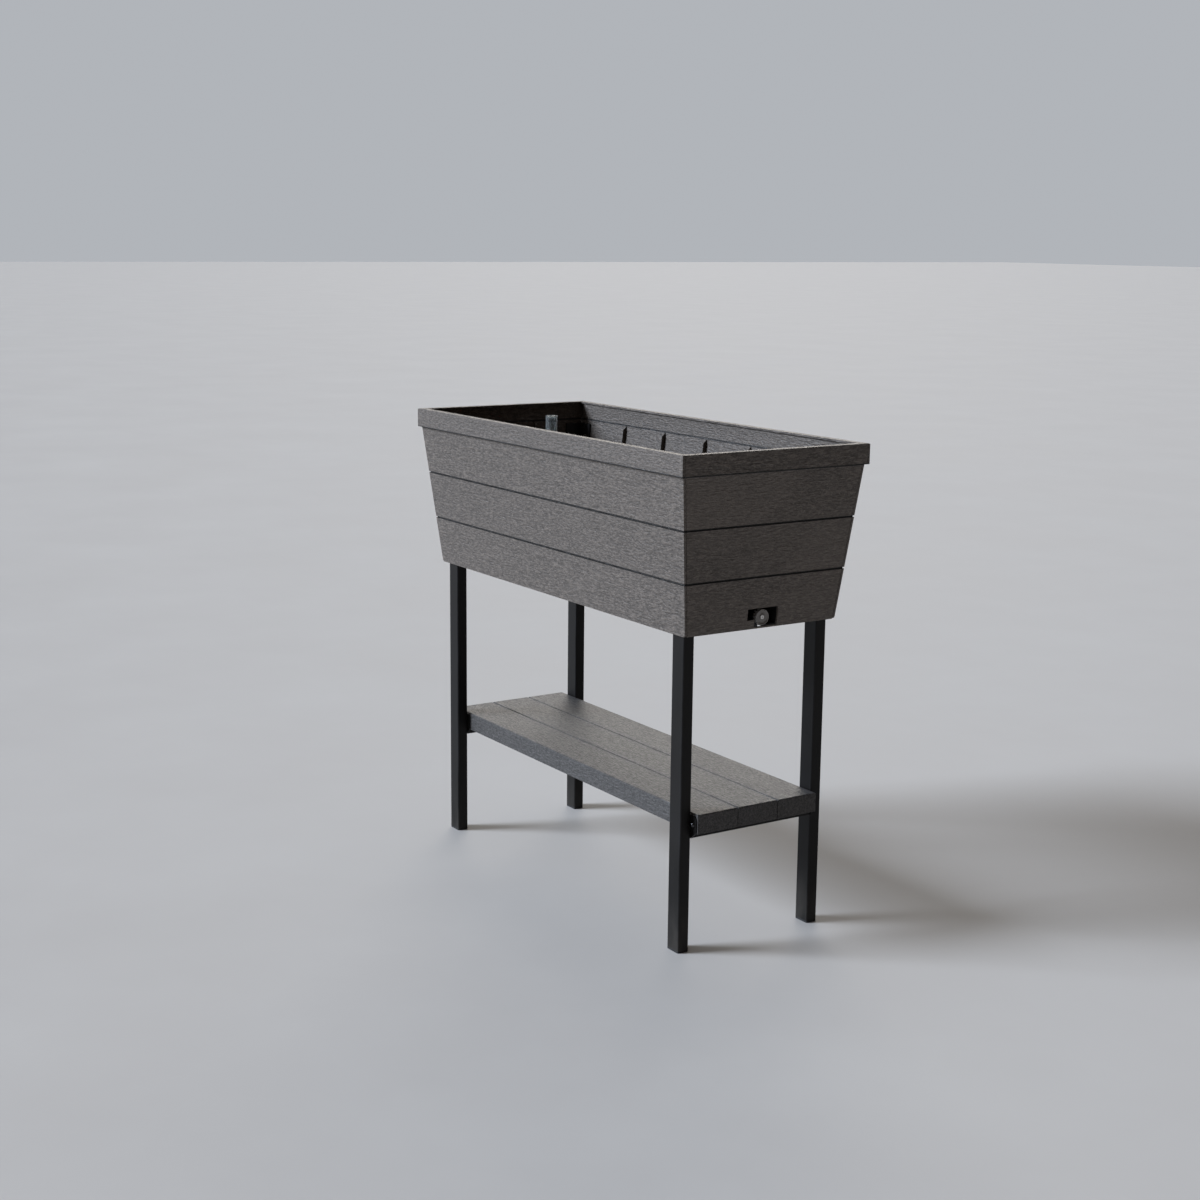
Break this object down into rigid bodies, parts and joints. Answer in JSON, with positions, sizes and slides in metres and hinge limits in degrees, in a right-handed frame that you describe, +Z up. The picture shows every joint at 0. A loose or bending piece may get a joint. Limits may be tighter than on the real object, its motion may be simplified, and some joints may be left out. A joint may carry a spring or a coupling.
{
  "type": "raised planter on legs",
  "caption": "Tapered raised planter box with water reservoir, drain tap and water gauge, on steel tube legs tied by a slatted lower shelf.",
  "frame": {"origin": "on the ground under the centre of the planter", "axes": "+X along the planter towards the drain tap, +Y to the back, +Z up"},
  "size_m": [0.828, 0.352, 0.78],
  "materials": {
    "wall_resin": "moulded, fine wood-grain texture",
    "board_resin": "moulded, fine wood-grain texture",
    "black_steel": "satin powder coat",
    "black_plastic": "fine moulded texture",
    "zinc_steel": "zinc plated",
    "black_bolts": "black oxide with worn edges",
    "bright_steel": "bright",
    "seal_rubber": "matte",
    "tap_plastic": "moulded",
    "knob_plastic": "satin grey",
    "clear_plastic": "clear",
    "float_foam": "closed-cell foam",
    "red_plastic": "satin red"
  },
  "bodies": {
    "planter": {"front_panel": "wall_resin", "back_panel": "wall_resin", "drain_end_panel": "wall_resin", "plain_end_panel": "wall_resin", "corner_brace_front_left": "black_plastic", "corner_brace_front_right": "black_plastic", "corner_brace_back_left": "black_plastic", "corner_brace_back_right": "black_plastic", "brace_screws": "zinc_steel", "reservoir_tray": "black_plastic", "tray_screws": "zinc_steel", "soil_grid_left": "black_plastic", "soil_grid_right": "black_plastic", "leg_front_left": "black_steel", "leg_front_right": "black_steel", "leg_back_left": "black_steel", "leg_back_right": "black_steel", "foot_cap_front_left": "black_plastic", "foot_cap_front_right": "black_plastic", "foot_cap_back_left": "black_plastic", "foot_cap_back_right": "black_plastic", "leg_plug_front_left": "black_plastic", "leg_plug_front_right": "black_plastic", "leg_plug_back_left": "black_plastic", "leg_plug_back_right": "black_plastic", "leg_bolts": "zinc_steel", "leg_washers": "zinc_steel", "shelf_rail_left": "black_steel", "shelf_rail_right": "black_steel", "shelf_board_front": "board_resin", "shelf_board_middle": "board_resin", "shelf_board_back": "board_resin", "rail_bolts": "black_bolts", "weld_nuts": "zinc_steel", "shelf_side_bolts": "black_bolts", "board_screws": "zinc_steel", "tap_body": "tap_plastic", "tap_gasket": "seal_rubber", "tap_lock_nut": "tap_plastic", "tap_bonnet": "tap_plastic", "tap_o_ring": "seal_rubber", "gauge_tube": "black_plastic", "gauge_window": "clear_plastic"},
    "tap_washer": {"tap_washer": "seal_rubber"},
    "tap_knob": {"tap_spindle": "bright_steel", "tap_knob": "knob_plastic", "tap_knob_screw": "bright_steel"},
    "gauge_float": {"gauge_float": "float_foam", "gauge_rod": "red_plastic"}
  },
  "joints": [
    {"name": "washer_travel", "type": "slide", "parent": "planter", "child": "tap_washer", "axis": [1, 0, 0], "range_m": [0, 0.0045]},
    {"name": "knob_turn", "type": "hinge", "parent": "tap_washer", "child": "tap_knob", "pos_m": [0.3745, 0, 0.52], "axis": [1, 0, 0], "range_deg": [0, 540]},
    {"name": "float_travel", "type": "slide", "parent": "planter", "child": "gauge_float", "axis": [0, 0, 1], "range_m": [0, 0.04]}
  ],
  "couplings": [
    {"joint": "washer_travel", "follows": "knob_turn", "m_per_rad": 0.00047746}
  ]
}
